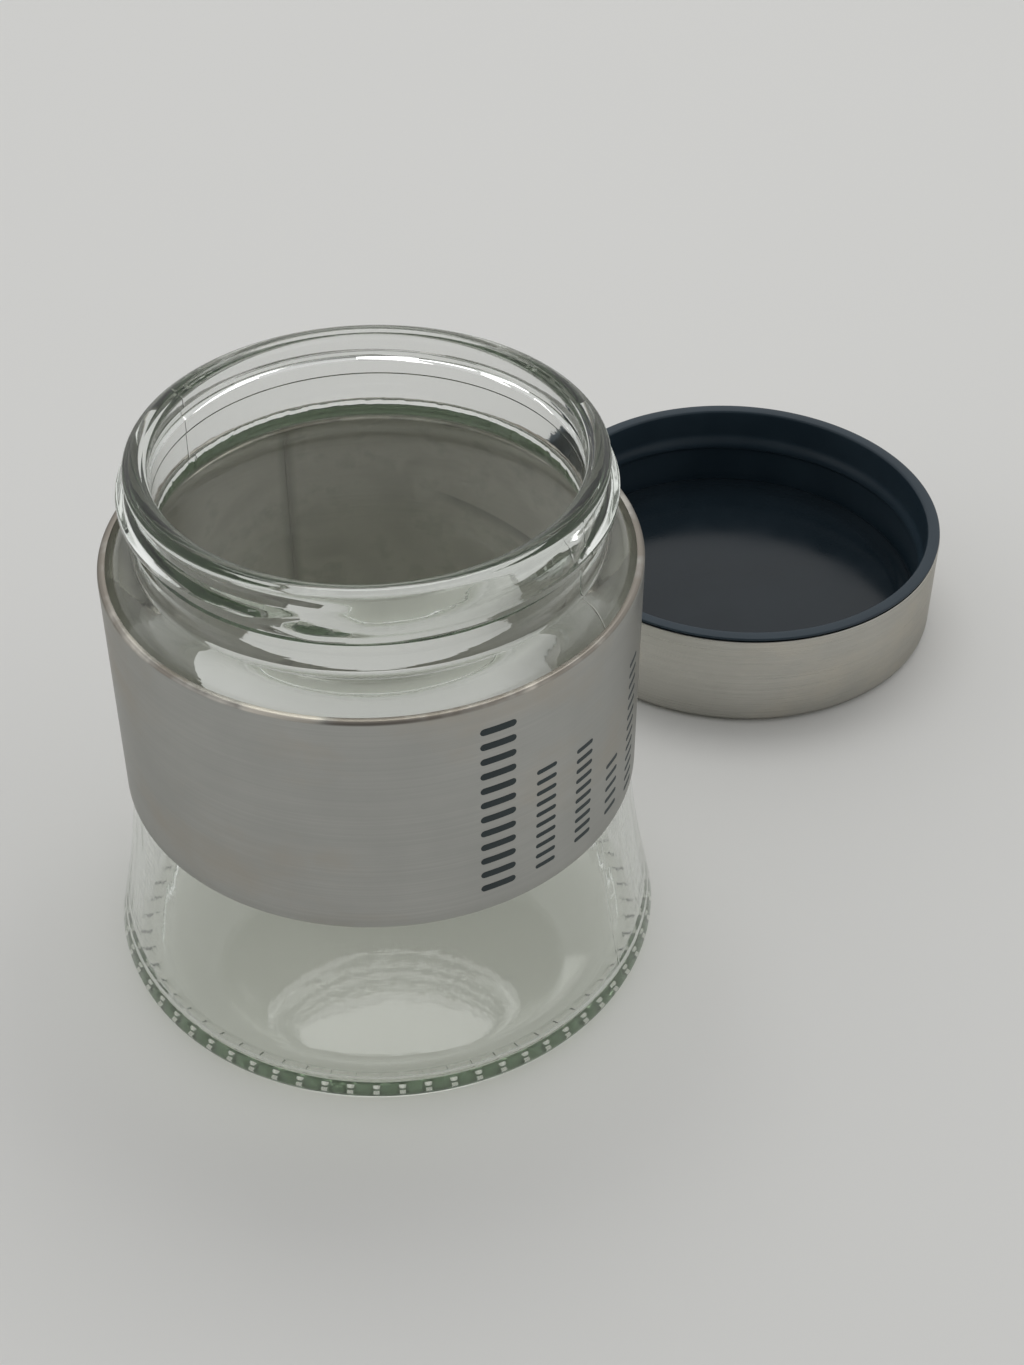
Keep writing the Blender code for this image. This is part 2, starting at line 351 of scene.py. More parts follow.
def new_material(name):
    material = bpy.data.materials.new(name)
    material.use_nodes = True
    return material, material.node_tree, material.node_tree.nodes["Principled BSDF"]


def node(tree, kind, **settings):
    made = tree.nodes.new(kind)
    for key, value in settings.items():
        setattr(made, key, value)
    return made


def object_noise(tree, scale, size=1.0, detail=3.0, roughness=0.5):
    """Noise in the piece's own coordinates. scale stretches it along X, Y and Z."""
    place = node(tree, "ShaderNodeTexCoord")
    stretch = node(tree, "ShaderNodeMapping")
    stretch.inputs["Scale"].default_value = scale
    noise = node(tree, "ShaderNodeTexNoise")
    noise.inputs["Scale"].default_value = size
    noise.inputs["Detail"].default_value = detail
    noise.inputs["Roughness"].default_value = roughness
    tree.links.new(place.outputs["Object"], stretch.inputs["Vector"])
    tree.links.new(stretch.outputs["Vector"], noise.inputs["Vector"])
    return noise.outputs["Fac"]


def spread(tree, value, low, high, to_low, to_high):
    """Maps a value's range to another one, clamped."""
    change = node(tree, "ShaderNodeMapRange")
    change.inputs["From Min"].default_value = low
    change.inputs["From Max"].default_value = high
    change.inputs["To Min"].default_value = to_low
    change.inputs["To Max"].default_value = to_high
    tree.links.new(value, change.inputs["Value"])
    return change.outputs["Result"]


def blend_colours(tree, factor, first, second):
    mix = node(tree, "ShaderNodeMix", data_type="RGBA")
    mix.inputs["A"].default_value = (*first, 1.0)
    mix.inputs["B"].default_value = (*second, 1.0)
    tree.links.new(factor, mix.inputs["Factor"])
    return mix.outputs["Result"]


def bump(tree, shader, height, strength, distance):
    made = node(tree, "ShaderNodeBump")
    made.inputs["Strength"].default_value = strength
    made.inputs["Distance"].default_value = distance
    tree.links.new(height, made.inputs["Height"])
    tree.links.new(made.outputs["Normal"], shader.inputs["Normal"])


def glass_material():
    """Clear pressed glass, grey-green where it is thick, with the slight waviness of the mould."""
    material, tree, shader = new_material("pressed_glass")
    shader.inputs["Base Color"].default_value = (1.0, 1.0, 1.0, 1.0)
    shader.inputs["Transmission Weight"].default_value = 1.0
    shader.inputs["IOR"].default_value = GLASS_IOR
    shader.inputs["Roughness"].default_value = 0.0
    slow = object_noise(tree, (1.0, 1.0, 0.6), 260.0, 2.0)
    turned_marks = object_noise(tree, MOULD_MARKS, 1.0, 2.0)
    both = node(tree, "ShaderNodeMath", operation="MULTIPLY_ADD")
    both.inputs[1].default_value = 0.4
    tree.links.new(turned_marks, both.inputs[0])
    tree.links.new(slow, both.inputs[2])
    bump(tree, shader, both.outputs["Value"], 0.09, 0.0002)
    output = tree.nodes["Material Output"]
    tint = node(tree, "ShaderNodeVolumeAbsorption")
    tint.inputs["Color"].default_value = (*GLASS_TINT, 1.0)
    tint.inputs["Density"].default_value = GLASS_DENSITY
    tree.links.new(tint.outputs["Volume"], output.inputs["Volume"])
    let_light_through(tree, shader, output)
    return material


def let_light_through(tree, shader, output):
    """Light for other surfaces passes straight through the glass, losing a little, not as caustics."""
    clear = node(tree, "ShaderNodeBsdfTransparent")
    clear.inputs["Color"].default_value = (*GLASS_PASS, 1.0)
    path = node(tree, "ShaderNodeLightPath")
    either = node(tree, "ShaderNodeMath", operation="MAXIMUM")
    tree.links.new(path.outputs["Is Shadow Ray"], either.inputs[0])
    tree.links.new(path.outputs["Is Diffuse Ray"], either.inputs[1])
    mix = node(tree, "ShaderNodeMixShader")
    tree.links.new(either.outputs["Value"], mix.inputs["Fac"])
    tree.links.new(shader.outputs["BSDF"], mix.inputs[1])
    tree.links.new(clear.outputs["BSDF"], mix.inputs[2])
    tree.links.new(mix.outputs["Shader"], output.inputs["Surface"])


def brushed_surface(tree, shader, streaks, anisotropy):
    """Metal whose scratches run round the piece."""
    shader.inputs["Metallic"].default_value = 1.0
    shader.inputs["Anisotropic"].default_value = anisotropy
    tangent = node(tree, "ShaderNodeTangent", direction_type="RADIAL", axis="Z")
    tree.links.new(tangent.outputs["Tangent"], shader.inputs["Tangent"])
    bump(tree, shader, streaks, 0.12, 0.00004)


def multiplied(tree, first, second):
    product = node(tree, "ShaderNodeMath", operation="MULTIPLY")
    tree.links.new(first, product.inputs[0])
    tree.links.new(second, product.inputs[1])
    return product.outputs["Value"]


def tinted(tree, factor, colour, other):
    """A colour output blended towards a plain colour."""
    mix = node(tree, "ShaderNodeMix", data_type="RGBA")
    tree.links.new(factor, mix.inputs["Factor"])
    tree.links.new(colour, mix.inputs["A"])
    mix.inputs["B"].default_value = (*other, 1.0)
    return mix.outputs["Result"]


def offset_along(tree, direction, origin):
    """How far each point lies from the origin along a direction, in metres."""
    place = node(tree, "ShaderNodeTexCoord")
    away = node(tree, "ShaderNodeVectorMath", operation="SUBTRACT")
    away.inputs[1].default_value = origin
    tree.links.new(place.outputs["Object"], away.inputs[0])
    dot = node(tree, "ShaderNodeVectorMath", operation="DOT_PRODUCT")
    dot.inputs[1].default_value = direction
    tree.links.new(away.outputs["Vector"], dot.inputs[0])
    return dot.outputs["Value"]


def steel_material(name, shades, roughness, edge=None):
    """Satin steel brushed round the turned piece, with faint warm smudges.

    edge is the height, in metres, above which a turned-in edge gets painted reflections: uneven dull and
    bright patches.
    """
    bright, dark, warm = shades
    material, tree, shader = new_material(name)
    fine = object_noise(tree, FINE_BRUSHING, 1.0, 4.0, 0.7)
    coarse = object_noise(tree, BROAD_BRUSHING, 1.0, 3.0, 0.6)
    cloud = object_noise(tree, EVEN, 34.0, 4.0, 0.6)
    scratches = spread(tree, fine, 0.3, 0.7, 0.52, 1.0)
    bands = spread(tree, coarse, 0.35, 0.65, 0.80, 1.0)
    patina = spread(tree, cloud, 0.35, 0.65, 0.60, 1.0)
    share = multiplied(tree, multiplied(tree, scratches, bands), patina)
    colour = blend_colours(tree, share, dark, bright)
    smudge = object_noise(tree, (1.0, 1.0, 1.7), 21.0, 5.0, 0.65)
    colour = tinted(tree, spread(tree, smudge, 0.52, 0.72, 0.0, 0.75), colour, warm)
    if edge:
        # painted dark reflections and painted highlights on the turned-in edge
        colour = painted_edge_reflections(tree, colour, edge)
    tree.links.new(colour, shader.inputs["Base Color"])
    shader.inputs["Specular Tint"].default_value = (*STEEL_SHEEN, 1.0)
    rough = spread(tree, fine, 0.3, 0.7, roughness - 0.05, roughness + 0.06)
    tree.links.new(rough, shader.inputs["Roughness"])
    brushed_surface(tree, shader, fine, STEEL_ANISOTROPY)
    return material


def painted_edge_reflections(tree, colour, edge):
    """Painted reflections above a height, in metres: dull patches for dark reflections and bright patches
    as painted highlights.
    """
    above = offset_along(tree, (0.0, 0.0, 1.0), (0.0, 0.0, edge))
    on_edge = spread(tree, above, 0.0, 0.3 * MM, 0.0, 1.0)
    patches = object_noise(tree, (1.0, 1.0, 0.1), 48.0, 4.0, 0.6)
    # painted dark reflections in patches, then painted highlights in other patches
    painted_dark = multiplied(tree, on_edge, spread(tree, patches, 0.42, 0.55, 0.0, 0.9))
    colour = tinted(tree, painted_dark, colour, EDGE_PAINTED_DARK)
    painted_highlight = multiplied(tree, on_edge, spread(tree, patches, 0.40, 0.50, 0.85, 0.0))
    return tinted(tree, painted_highlight, colour, EDGE_PAINTED_HIGHLIGHT)


def weld_band(tree):
    """1 on the inner face's dark stripe along the weld, fading to 0 beside it."""
    turn = math.radians(WELD_ANGLE)
    across = offset_along(tree, (math.sin(turn), -math.cos(turn), 0.0), (0.0, 0.0, 0.0))
    distance = node(tree, "ShaderNodeMath", operation="ABSOLUTE")
    tree.links.new(across, distance.inputs[0])
    near = spread(tree, distance.outputs["Value"], 0.4 * MM, 2.2 * MM, 1.0, 0.0)
    along = offset_along(tree, (math.cos(turn), math.sin(turn), 0.0), (0.0, 0.0, 0.0))
    return multiplied(tree, near, spread(tree, along, 0.0, 10.0 * MM, 0.0, 1.0))


def crease_shade_band(tree):
    """1 on the painted shade of a crease that falls to the right across the inner face's back, and 0
    elsewhere.

    The painted shade is sharp above and soft below, CREASE_WIDTH wide. Its ends are taken on the outer
    radius.
    """
    low, high = CREASE_ENDS
    turns = [math.radians(end[0]) for end in (high, low)]
    start = Vector((SLEEVE.radius * math.cos(turns[0]), SLEEVE.radius * math.sin(turns[0]), high[1])) * MM
    end = Vector((SLEEVE.radius * math.cos(turns[1]), SLEEVE.radius * math.sin(turns[1]), low[1])) * MM
    along = Vector((end.x - start.x, 0.0, end.z - start.z))
    reach = along.length
    along.normalize()
    across = Vector((-along.z, 0.0, along.x))
    travelled = offset_along(tree, along, start)
    above = offset_along(tree, across, start)
    upper = spread(tree, above, 0.0, 0.35 * MM, 1.0, 0.0)
    lower = spread(tree, above, -CREASE_WIDTH * MM, -0.2 * MM, 0.0, 1.0)
    ends = multiplied(
        tree,
        spread(tree, travelled, 0.0, 6.0 * MM, 0.0, 1.0),
        spread(tree, travelled, reach, reach + 2.0 * MM, 1.0, 0.0),
    )
    behind = spread(tree, offset_along(tree, (0.0, 1.0, 0.0), (0.0, 0.0, 0.0)), 0.0, 5.0 * MM, 0.0, 1.0)
    return multiplied(tree, multiplied(tree, upper, lower), multiplied(tree, ends, behind))


def inner_steel_stains_and_shade_material():
    """The sleeve's unpolished inner face: brushed, with dried water marks, a crease painted as a dark shade
    band, and a dark weld.
    """
    material, tree, shader = new_material("sleeve_inner_steel")
    stains = object_noise(tree, EVEN, 120.0, 5.0, 0.62)
    streaks = object_noise(tree, INNER_BRUSHING, 1.0, 4.0, 0.7)
    water_marks = spread(tree, stains, 0.34, 0.46, 0.45, 1.0)
    scratches = spread(tree, streaks, 0.3, 0.7, 0.8, 1.0)
    colour = blend_colours(tree, multiplied(tree, water_marks, scratches), *INNER_STEEL)
    colour = tinted(tree, spread(tree, weld_band(tree), 0.0, 1.0, 0.0, 0.75), colour, WELD_COLOUR)
    # painted shade where the inner face is creased
    colour = tinted(tree, spread(tree, crease_shade_band(tree), 0.0, 1.0, 0.0, 0.8), colour, CREASE_PAINTED_SHADE)
    tree.links.new(colour, shader.inputs["Base Color"])
    tree.links.new(spread(tree, stains, 0.3, 0.7, *INNER_ROUGHNESS), shader.inputs["Roughness"])
    brushed_surface(tree, shader, streaks, INNER_ANISOTROPY)
    return material


def plastic_material(name, shades, roughness, grain):
    """Moulded plastic or rubber with a fine grain and a slightly uneven sheen."""
    material, tree, shader = new_material(name)
    cloud = object_noise(tree, EVEN, 60.0, 3.0)
    colour = blend_colours(tree, spread(tree, cloud, 0.35, 0.65, 0.0, 1.0), *shades)
    tree.links.new(colour, shader.inputs["Base Color"])
    rough = spread(tree, cloud, 0.3, 0.7, roughness - 0.04, roughness + 0.05)
    tree.links.new(rough, shader.inputs["Roughness"])
    shader.inputs["Specular IOR Level"].default_value = 0.32
    fine = object_noise(tree, EVEN, 2200.0, 2.0)
    bump(tree, shader, fine, grain, 0.00006)
    return material


# ---------------------------------------------------------------- pieces

def jar_section():
    """The jar's outline: up the outside from under its middle, and down inside from the rim."""
    under = arc((0.0, GRIP_DEPTH), (UNDERSIDE_RADIUS, PUSH_UP), 90.0, 0.0, 9)
    ring = [(radius, GRIP_DEPTH) for radius in BEARING_RADII]
    heel_radii = (HEEL_RADIUS, HEEL_RADIUS - GRIP_DEPTH)
    heel = arc((JAR.radius - HEEL_RADIUS, HEEL_RADIUS), heel_radii, -90.0, 0.0, 9)
    flare = flared(np.linspace(HEEL_RADIUS, SLEEVE.low, 16)[1:], 0.0)
    body = rise(BODY_RADIUS, SLEEVE.low + 14.0, SHOULDER_START - 4.0, 14.0)
    shoulder_radii = (SHOULDER_REACH, SHOULDER_HEIGHT)
    shoulder = arc((BODY_RADIUS - SHOULDER_REACH, SHOULDER_START), shoulder_radii, 0.0, 80.0, 13)
    root = arc((NECK_LOWER_RADIUS + 0.9, NECK_ROOT + 1.0), (0.9, 0.9), -100.0, -180.0, 4)
    lower = rise(NECK_LOWER_RADIUS, NECK_ROOT + 2.6, 103.6, 1.6)
    upper = rise(NECK_UPPER_RADIUS, 104.0, RIM_BEAD_LOW, 0.24)
    edge = JAR.high - RIM_CROWN - RIM_ROUND
    outer = arc((RIM_RADIUS - RIM_ROUND, edge), (RIM_ROUND, RIM_ROUND), -25.0, 78.0, 8)
    crown_low = outer[-1]
    inner = arc((MOUTH_RADIUS + RIM_ROUND, edge), (RIM_ROUND, RIM_ROUND), 102.0, 180.0, 6)
    crown_reach = (crown_low[0] - inner[0][0]) / 2
    middle = (crown_low[0] - crown_reach, crown_low[1])
    crown = arc(middle, (crown_reach, JAR.high - crown_low[1]), 0.0, 180.0, 6)[1:-1]
    outside = under + ring + heel + flare + body + shoulder + root + lower + upper + outer
    return outside, crown + inner + jar_inside()


def flared(heights, inward):
    """Points on the body's flare, or on a line inside it."""
    return [(float(flare_radius(height)) - inward, height) for height in heights]


def jar_inside():
    """The inner neck, inner shoulder, inner wall and floor."""
    body_inner = BODY_RADIUS - WALL
    top = NECK_ROOT + 1.4
    neck = rise(MOUTH_RADIUS, JAR.high - RIM_ROUND - 2.5, CRINKLE_HEIGHTS[1] + 0.6, 5.0)
    neck += rise(MOUTH_RADIUS, CRINKLE_HEIGHTS[1] + 0.2, top, 0.4)
    shoulder = []
    for angle in (8, 13, 17, 21, 25, 30, 36, 42, 49, 56, 63, 71, 80, 90):
        share = math.sin(math.radians(angle)) ** 2
        shoulder.append((MOUTH_RADIUS + (body_inner - MOUTH_RADIUS) * share, top - 14.0 * angle / 90.0))
    corner_height = FLOOR_HEIGHT + FLOOR_CORNER
    wall = rise(body_inner, top - 22.0, SLEEVE.low + 4.0, 9.0)
    flare = flared(np.linspace(SLEEVE.low, corner_height, 14), WALL)
    corner_centre = (flare[-1][0] - FLOOR_CORNER, corner_height)
    corner = arc(corner_centre, (FLOOR_CORNER, FLOOR_CORNER), 0.0, -90.0, 7)
    floor = arc((0.0, FLOOR_HEIGHT), (corner_centre[0], FLOOR_CROWN), 0.0, 90.0, 10)
    return neck + shoulder + wall + flare + corner[1:] + floor[1:]


def grip_angles():
    """Angles round the jar, closer together at both ends of each grip mark."""
    pitch = 360.0 / GRIP_MARKS
    per_mm = 180.0 / (math.pi * GRIP_RADIUS)
    offsets = [share * GRIP_WIDTH * per_mm for share in GRIP_SLOPES]
    angles = []
    for mark in range(GRIP_MARKS):
        centre = mark * pitch - 180.0
        angles.append(centre + pitch / 2)
        for offset in offsets:
            angles += [centre - offset, centre + offset]
    for seam in SEAM_ANGLES:
        angles += list(np.linspace(seam - 0.5, seam + 0.5, 9))
    wrapped = (np.array(angles) + 180.0) % 360.0 - 180.0
    return np.unique(np.round(wrapped, 3))


def grip_lift(angle, radius):
    """How far each point of the bearing ring stands down, as a share: 1 on a mark and 0 between marks."""
    pitch = 360.0 / GRIP_MARKS
    away = ((angle + 180.0 + pitch / 2) % pitch - pitch / 2) * math.pi / 180.0 * GRIP_RADIUS
    across = smooth((GRIP_WIDTH / 2 * 1.12 - np.abs(away)) / (GRIP_WIDTH * 0.28))
    along = smooth((GRIP_LENGTH / 2 + 0.2 - np.abs(radius - GRIP_RADIUS)) / 0.7)
    return across * along


def thread_shape(angle, radius, height):
    """Raises the thread out of the neck, and fills the groove above it where it runs up into the rim."""
    back = 0.5 + 0.5 * np.sin(np.radians(angle))
    crest = THREAD_CRESTS[0] + (THREAD_CRESTS[1] - THREAD_CRESTS[0]) * back
    lower = THREAD_LOWER_WIDTHS[0] + (THREAD_LOWER_WIDTHS[1] - THREAD_LOWER_WIDTHS[0]) * back
    widths = (lower, THREAD_UPPER_WIDTH)
    thread = helix_ridge(
        angle, height, THREAD_FRONT_HEIGHT, THREAD_START, THREAD_END, widths, THREAD_FLAT
    )
    top = JAR.high - RIM_ROUND
    share = np.clip((top - height) / (top - THREAD_FRONT_HEIGHT), 0.0, 1.0)
    filled = RIM_RADIUS + (crest - RIM_RADIUS) * share + RUN_OUT_BULGE * np.sin(math.pi * share)
    inside = np.minimum(angle - RUN_OUT_ANGLES[0], RUN_OUT_ANGLES[1] - angle) + RUN_OUT_FADE / 2
    run_out = smooth(inside / RUN_OUT_FADE) * (height > THREAD_FRONT_HEIGHT)
    threaded = radius + (crest - radius) * thread
    return np.maximum(threaded, radius + (filled - radius) * run_out)


def make_jar(glass):
    outside, inside = jar_section()
    random = np.random.default_rng(11)

    def shape(angle, radius, height):
        """Adds the thread, the mould's parting lines, the grip marks and the rough finishing ring."""
        rows = np.arange(len(outside) + len(inside))[:, None] * np.ones_like(angle)
        is_outer = rows < len(outside)
        on_neck = is_outer & (height > NECK_ROOT + 1.2) & (height < JAR.high - RIM_ROUND)
        radius = np.where(on_neck, thread_shape(angle, radius, height), radius)
        parting = sum(angular_bump(angle, centre, PARTING_WIDTH) for centre in SEAM_ANGLES)
        wall = is_outer & (height > 6.0) & (height < JAR.high - 1.0)
        on_shoulder = smooth((height - SHOULDER_START) / 8.0)
        line_height = PARTING_LINE * (PARTING_SHARE + (1.0 - PARTING_SHARE) * on_shoulder)
        radius = radius + np.where(wall, line_height * parting, 0.0)
        low_outer = is_outer & (height < 1.0)
        height = height - np.where(low_outer, GRIP_DEPTH * grip_lift(angle, radius), 0.0)
        grain = random.normal(0.0, 1.0, angle.shape)
        grain = grain + 0.5 * np.roll(grain, 1, 0)
        low, high = CRINKLE_HEIGHTS
        rough = smooth((height - low) / 1.2) * smooth((high - height) / 0.8) * ~is_outer
        behind = (angle + 90.0) % 360.0 - 90.0
        reach = np.minimum(behind - CRINKLE_ANGLES[0], CRINKLE_ANGLES[1] - behind)
        rough = rough * smooth(reach / CRINKLE_FADE)
        inner_wall = ~is_outer & (height > FLOOR_HEIGHT + FLOOR_CORNER) & (height < NECK_ROOT - 8.0)
        wander = np.where(inner_wall, INNER_WAVE * ripple(angle, height, 7, 9, 60.0), 0.0)
        return radius + wander + CRINKLE_DEPTH * 0.5 * grain * rough, height

    jar = turned("pressed_glass_jar", outside + inside, JAR, grip_angles(), shape=shape)
    return dress(jar, "canister", "glass_jar", "glass", glass)


def sleeve_section():
    """The sleeve's outline: up the outside, over the turned-in lip and down the inside."""
    outer = SLEEVE.radius
    inner = outer - STEEL_THICKNESS
    centre = (outer - SLEEVE_BEND, SLEEVE.high - SLEEVE_BEND)
    tight = SLEEVE_BEND - STEEL_THICKNESS
    outside = arc((outer - 0.15, SLEEVE.low + 0.15), (0.15, 0.15), -90.0, 0.0, 3)
    outside += rise(outer, SLEEVE.low + 3.0, SLEEVE.high - 4.0, 6.0)
    outside += arc(centre, (SLEEVE_BEND, SLEEVE_BEND), 0.0, 90.0, 8)
    small = (SMALL_ROUND, SMALL_ROUND)
    lip_radius = SLEEVE_LIP_RADIUS + SMALL_ROUND
    lip = arc((lip_radius, SLEEVE.high - SMALL_ROUND), small, 90.0, 180.0, 3)
    lip += arc((lip_radius, SLEEVE.high - STEEL_THICKNESS + SMALL_ROUND), small, 180.0, 270.0, 3)
    inside = arc(centre, (tight, tight), 90.0, 0.0, 6)
    inside += rise(inner, SLEEVE.high - 4.0, SLEEVE.low + 3.0, 6.0)
    inside += arc((inner + SMALL_ROUND, SLEEVE.low + SMALL_ROUND), small, 180.0, 270.0, 3)
    return outside + lip, inside


def make_sleeve(steel, inner_steel):
    outside, inside = sleeve_section()
    rows = range(len(outside), len(outside) + len(inside))

    def shape(angle, radius, height):
        """The butt weld shows as a shallow groove on both faces."""
        groove = angular_bump(angle, WELD_ANGLE, 0.45)
        on_wall = height < SLEEVE.high - 1.2
        outward = np.where(radius > SLEEVE.radius - 0.25, -1.0, 1.0)
        return radius + np.where(on_wall, WELD_DEPTH * outward * groove, 0.0), height

    angles = ring_angles(384, (WELD_ANGLE,), 0.6, 13)
    sleeve = turned("brushed_sleeve", outside + inside, SLEEVE, angles, True, shape, rows)
    return dress(sleeve, "sleeve", "steel_sleeve", "sleeve_steel", steel, inner_steel)


def make_marks(ink):
    """Ladders of plain rounded bars printed up the sleeve. Each bar is a thin closed patch on the steel."""
    for number, (angle, low, high, count, length, thickness) in enumerate(MARK_ROWS, 1):
        pitch = (high - low - thickness) / (count - 1)
        points, faces = [], []
        for bar in range(count):
            add_bar(points, faces, angle, low + thickness / 2 + pitch * bar, length, thickness)
        mesh = bpy.data.meshes.new(f"marks_{number}")
        mesh.from_pydata(points, [], faces)
        mesh.validate()
        marks = bpy.data.objects.new(f"printed_bars_{number}", mesh)
        marks.location = SLEEVE.axis
        bpy.context.scene.collection.objects.link(marks)
        dress(marks, "sleeve", None, "sleeve_steel", ink)


def add_bar(points, faces, angle, middle, length, thickness):
    """One bar with round ends, lying level round the sleeve at an angle."""
    first = len(points)
    half = thickness / 2
    straight = length / 2 - half
    for column in range(MARK_COLUMNS + 1):
        across = -length / 2 * math.cos(math.pi * column / MARK_COLUMNS)
        past = max(0.0, abs(across) - straight)
        reach = math.sqrt(max(0.0, half * half - past * past))
        turn = math.radians(angle) + across / SLEEVE.radius
        for radius in (SLEEVE.radius - INK_SUNK, SLEEVE.radius + INK_THICKNESS):
            for height in (middle - reach, middle + reach):
                points.append((radius * math.cos(turn) * MM, radius * math.sin(turn) * MM, height * MM))
    for column in range(MARK_COLUMNS):
        a = first + 4 * column
        b = a + 4
        faces += [(a + 2, b + 2, b + 3, a + 3), (a, a + 1, b + 1, b)]
        faces += [(a, b, b + 2, a + 2), (a + 1, a + 3, b + 3, b + 1)]
    last = first + 4 * MARK_COLUMNS
    faces += [(first, first + 2, first + 3, first + 1), (last, last + 1, last + 3, last + 2)]


def make_shell(steel):
    """The lid's steel cup, lying on its top plate."""
    outer = SHELL.radius
    inner = outer - STEEL_THICKNESS
    centre = (outer - LID_CORNER, LID_CORNER)
    tight = LID_CORNER - STEEL_THICKNESS
    outside = [(0.0, 0.0)] + [(radius, 0.0) for radius in np.linspace(6.0, outer - LID_CORNER - 1.0, 8)]
    outside += arc(centre, (LID_CORNER, LID_CORNER), -90.0, 0.0, 10)
    outside += rise(outer, LID_CORNER + 3.0, SHELL.high - 0.4, 3.0)
    edge = arc((outer - 0.15, SHELL.high - 0.15), (0.15, 0.15), 0.0, 90.0, 3)
    edge += arc((inner + 0.1, SHELL.high - 0.1), (0.1, 0.1), 90.0, 180.0, 3)
    inside = arc(centre, (tight, tight), 0.0, -90.0, 8) + [(0.0, STEEL_THICKNESS)]
    shell = turned("lid_steel_cover", outside + edge + inside, SHELL, ring_angles(320))
    return dress(shell, "lid_cap", "lid_shell", "lid_steel", steel)


def make_insert(plastic):
    """The threaded plastic insert, whose rounded rim covers the steel's edge."""
    outer = SHELL.radius - STEEL_THICKNESS - 0.3
    flange_low = SHELL.high + 0.3
    flange_round = (INSERT.high - flange_low) / 2
    corner = (outer - INSERT_CORNER, INSERT.low + INSERT_CORNER)
    section = [(0.0, INSERT.low)] + arc(corner, (INSERT_CORNER, INSERT_CORNER), -90.0, 0.0, 6)
    section.append((outer, flange_low))
    flange = (SHELL.radius - 0.1 - flange_round, flange_low + flange_round)
    section += arc(flange, (flange_round, flange_round), -90.0, 90.0, 10)
    section += arc((INSERT_WALL_INNER + 0.7, INSERT.high - 0.7), (0.7, 0.7), 90.0, 180.0, 6)
    section += rise(INSERT_WALL_INNER, INSERT.high - 2.0, INSERT_PLATE_HIGH + 1.4, 0.35)
    section += arc((INSERT_WALL_INNER - 1.0, INSERT_PLATE_HIGH + 1.0), (1.0, 1.0), 0.0, -90.0, 5)
    section.append((0.0, INSERT_PLATE_HIGH))

    def shape(angle, radius, height):
        """Raises the lid's thread out of the insert's wall."""
        on_wall = np.abs(radius - INSERT_WALL_INNER) < 0.01
        widths = (LID_THREAD_LOWER_WIDTH, LID_THREAD_UPPER_WIDTH)
        start, end = -90.0, LID_THREAD_SWEEP - 90.0
        thread = helix_ridge(angle, height, LID_THREAD_LOW, start, end, widths, LID_THREAD_FLAT)
        return radius + np.where(on_wall, (LID_THREAD_CREST - radius) * thread, 0.0), height

    insert = turned("lid_screw_insert", section, INSERT, ring_angles(320), shape=shape)
    return dress(insert, "lid_cap", "lid_insert", "lid_plastic", plastic)


def make_liner(rubber):
    """The sealing disc, with the ring that the jar's rim has pressed into it."""
    high = LINER.high
    section = [(0.0, LINER.low), (LINER.radius - 0.3, LINER.low)]
    section += arc((LINER.radius - 0.3, high - 0.3), (0.3, 0.3), 0.0, 90.0, 4)
    for radius in np.linspace(LINER.radius - 0.9, 36.0, 24):
        dent = math.exp(-(((radius - SEAL_RING_RADIUS) / SEAL_RING_WIDTH) ** 2))
        section.append((radius, high - SEAL_RING_DEPTH * dent))
    section += [(radius, high) for radius in np.linspace(33.0, 6.0, 6)] + [(0.0, high)]
    liner = turned("lid_seal_disc", section, LINER, ring_angles(256))
    return dress(liner, "lid_seal", "lid_liner", "lid_seal_rubber", rubber)


def main():
    edge = (SLEEVE.high - PAINTED_EDGE_DEPTH) * MM
    make_jar(glass_material())
    sleeve_steel = steel_material("sleeve_brushed_steel", SLEEVE_STEEL, SLEEVE_ROUGHNESS, edge)
    make_sleeve(sleeve_steel, inner_steel_stains_and_shade_material())
    make_marks(plastic_material("grey_ink", INK, INK_ROUGHNESS, 0.1))
    make_shell(steel_material("lid_brushed_steel", LID_STEEL, LID_ROUGHNESS))
    make_insert(plastic_material("lid_black_plastic", INSERT_PLASTIC, INSERT_ROUGHNESS, 0.2))
    make_liner(plastic_material("lid_seal_black", SEAL_RUBBER, SEAL_ROUGHNESS, 0.2))
    adhesive = plastic_material("cured_adhesive", ADHESIVE, ADHESIVE_ROUGHNESS, 0.4)
    hidden_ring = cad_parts["lid_adhesive_ring"]
    hidden_ring.data.materials.clear()
    hidden_ring.data.materials.append(adhesive)


# ---------------------------------------------------------------- studio

def make_floor():
    """A wide pale table."""
    size = FLOOR_REACH
    mesh = bpy.data.meshes.new("floor")
    corners = [(-size, -size, 0.0), (size, -size, 0.0), (size, size, 0.0), (-size, size, 0.0)]
    mesh.from_pydata(corners, [], [(0, 1, 2, 3)])
    floor = bpy.data.objects.new("floor", mesh)
    bpy.context.scene.collection.objects.link(floor)
    material, tree, shader = new_material("pale_table")
    cloud = object_noise(tree, EVEN, 3.0, 2.0)
    tree.links.new(blend_colours(tree, cloud, *TABLE), shader.inputs["Base Color"])
    shader.inputs["Roughness"].default_value = TABLE_ROUGHNESS
    mesh.materials.append(material)


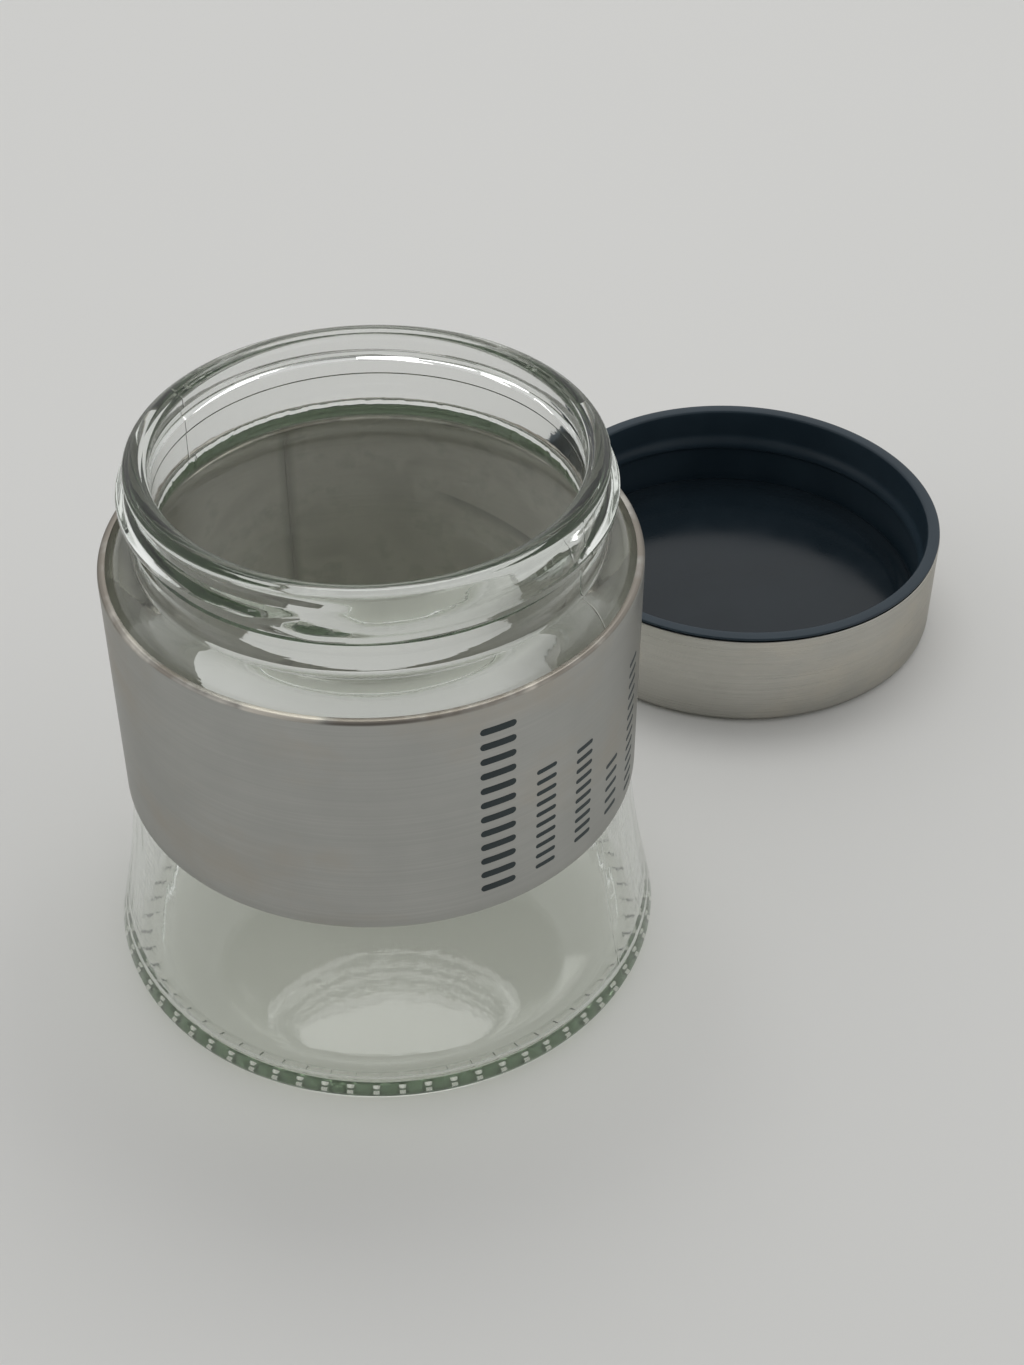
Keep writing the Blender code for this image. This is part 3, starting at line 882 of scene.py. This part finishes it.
def make_world():
    """A pale room: brightest a third of the way up, and darker where somebody stands in front."""
    world = bpy.data.worlds.new("room")
    bpy.context.scene.world = world
    world.use_nodes = True
    tree = world.node_tree
    background = tree.nodes["Background"]
    place = tree.nodes.new("ShaderNodeTexCoord")
    split = tree.nodes.new("ShaderNodeSeparateXYZ")
    ramp = tree.nodes.new("ShaderNodeValToRGB")
    tree.links.new(place.outputs["Generated"], split.inputs["Vector"])
    tree.links.new(split.outputs["Z"], ramp.inputs["Fac"])
    stops = ramp.color_ramp.elements
    stops[0].position = 0.0
    stops[0].color = (*ROOM_HORIZON, 1.0)
    stops[1].position = 1.0
    stops[1].color = (*ROOM_OVERHEAD, 1.0)
    middle = stops.new(ROOM_MIDDLE)
    middle.color = (*ROOM_BRIGHT, 1.0)
    front = node(tree, "ShaderNodeVectorMath", operation="DOT_PRODUCT")
    front.inputs[1].default_value = DARK_SIDE
    tree.links.new(place.outputs["Generated"], front.inputs[0])
    shadow = spread(tree, front.outputs["Value"], *DARK_SIDE_EDGES, 0.0, DARK_SIDE_SHARE)
    colour = tinted(tree, shadow, ramp.outputs["Color"], DARK_SIDE_COLOUR)
    tree.links.new(colour, background.inputs["Color"])
    background.inputs["Strength"].default_value = ROOM_STRENGTH


def make_lamp():
    """One soft lamp overhead, a little behind the jar and aimed at the table's middle."""
    lamp = bpy.data.lights.new("overhead", "AREA")
    lamp.shape = "RECTANGLE"
    lamp.size, lamp.size_y = LAMP_SIZE
    lamp.energy = LAMP_POWER
    lamp.color = LAMP_COLOUR
    obj = bpy.data.objects.new("overhead", lamp)
    obj.location = LAMP_PLACE
    obj.rotation_euler = (-Vector(LAMP_PLACE)).to_track_quat("-Z", "Y").to_euler()
    bpy.context.scene.collection.objects.link(obj)


def make_camera():
    """Looks down at the jar at 40 degrees, a little to the right of it."""
    pitch = math.radians(CAMERA_PITCH)
    place = JAR.axis + Vector(CAMERA_PLACE) * MM
    forward = Vector((0.0, math.cos(pitch), -math.sin(pitch)))
    level = Vector((1.0, 0.0, 0.0))
    up = level.cross(forward)
    right = math.cos(CAMERA_ROLL) * level + math.sin(CAMERA_ROLL) * up
    upright = right.cross(forward)
    turn = Matrix((right, upright, -forward)).transposed().to_4x4()
    camera_data = bpy.data.cameras.new("camera")
    camera_data.sensor_width = CAMERA_SENSOR
    camera_data.lens = CAMERA_LENS
    camera = bpy.data.objects.new("camera", camera_data)
    camera.matrix_world = Matrix.Translation(place) @ turn
    bpy.context.scene.collection.objects.link(camera)
    bpy.context.scene.camera = camera


main()
make_floor()
make_world()
make_lamp()
make_camera()
bpy.context.scene.view_settings.view_transform = "Standard"
cycles = bpy.context.scene.cycles
cycles.max_bounces = GLASS_BOUNCES
cycles.transmission_bounces = GLASS_BOUNCES
cycles.glossy_bounces = GLOSSY_BOUNCES
